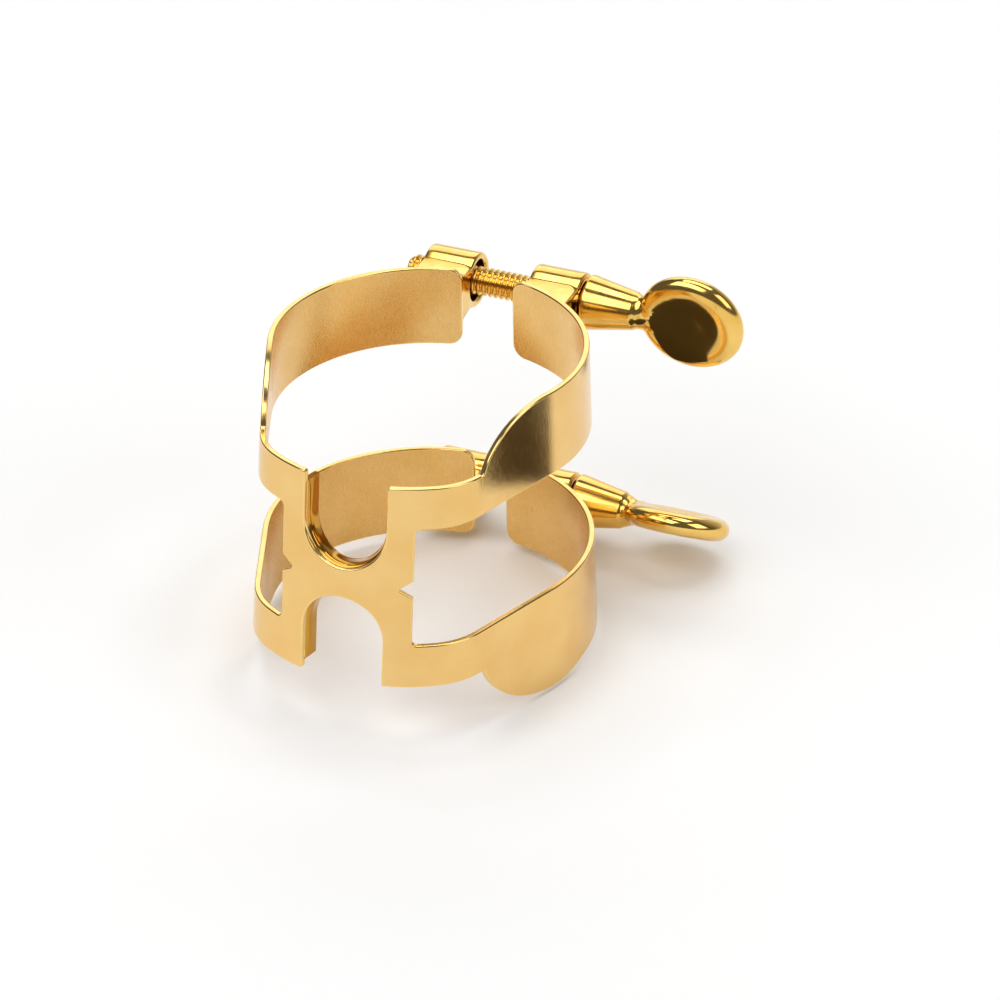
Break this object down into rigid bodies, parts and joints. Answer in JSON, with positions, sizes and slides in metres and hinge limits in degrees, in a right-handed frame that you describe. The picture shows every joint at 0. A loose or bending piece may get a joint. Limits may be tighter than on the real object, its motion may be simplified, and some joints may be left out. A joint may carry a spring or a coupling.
{
  "type": "two-screw mouthpiece ligature",
  "caption": "Gold-plated sheet-metal ligature with an H-shaped reed plate, two springy clamp bands and thumb screws at the back.",
  "frame": {"origin": "on the mouthpiece's axis, at the height of the reed plate's waist", "axes": "+Z along the mouthpiece's axis towards its tip, -Y towards the reed, +X towards the heads of the thumb screws"},
  "size_m": [0.0345, 0.0385, 0.0276],
  "materials": {
    "satin_gold_band": "fine-brushed satin gold plate over brass, bright polished edges",
    "polished_gold_post": "polished gold plate over brass",
    "polished_gold_screw": "mirror-polished gold plate over brass"
  },
  "bodies": {
    "plate": {"front_plate": "satin_gold_band"},
    "upper_right": {"upper_right_arm": "satin_gold_band", "upper_right_post": "polished_gold_post"},
    "upper_left": {"upper_left_arm": "satin_gold_band", "upper_left_post": "polished_gold_post"},
    "upper_screw": {"upper_thumb_screw": "polished_gold_screw"},
    "lower_right": {"lower_right_arm": "satin_gold_band", "lower_right_post": "polished_gold_post"},
    "lower_left": {"lower_left_arm": "satin_gold_band", "lower_left_post": "polished_gold_post"},
    "lower_screw": {"lower_thumb_screw": "polished_gold_screw"}
  },
  "joints": [
    {"name": "upper_right_flex", "type": "hinge", "parent": "plate", "child": "upper_right", "pos_m": [0.00913, -0.01168, 0.00681], "axis": [0, 0, 1], "range_deg": [-1.55, 1.05]},
    {"name": "upper_left_flex", "type": "hinge", "parent": "plate", "child": "upper_left", "pos_m": [-0.00913, -0.01168, 0.00681], "axis": [0, 0, -1], "range_deg": [-1.55, 1.05]},
    {"name": "upper_screw_turn", "type": "hinge", "parent": "upper_right", "child": "upper_screw", "pos_m": [0.0072, 0.0165, 0.0095], "axis": [-1, 0, 0], "range_deg": [-1080, 720]},
    {"name": "lower_right_flex", "type": "hinge", "parent": "plate", "child": "lower_right", "pos_m": [0.00953, -0.01255, -0.00679], "axis": [0, 0, 1], "range_deg": [-1.55, 1.05]},
    {"name": "lower_left_flex", "type": "hinge", "parent": "plate", "child": "lower_left", "pos_m": [-0.00953, -0.01255, -0.00679], "axis": [0, 0, -1], "range_deg": [-1.55, 1.05]},
    {"name": "lower_screw_turn", "type": "hinge", "parent": "lower_right", "child": "lower_screw", "pos_m": [0.0064, 0.0169, -0.0099], "axis": [-1, 0, 0], "range_deg": [-1080, 720]}
  ],
  "couplings": [
    {"joint": "upper_right_flex", "follows": "upper_screw_turn", "ratio": 0.0014118},
    {"joint": "upper_left_flex", "follows": "upper_screw_turn", "ratio": 0.0014118},
    {"joint": "lower_right_flex", "follows": "lower_screw_turn", "ratio": 0.0013513},
    {"joint": "lower_left_flex", "follows": "lower_screw_turn", "ratio": 0.0013513}
  ]
}
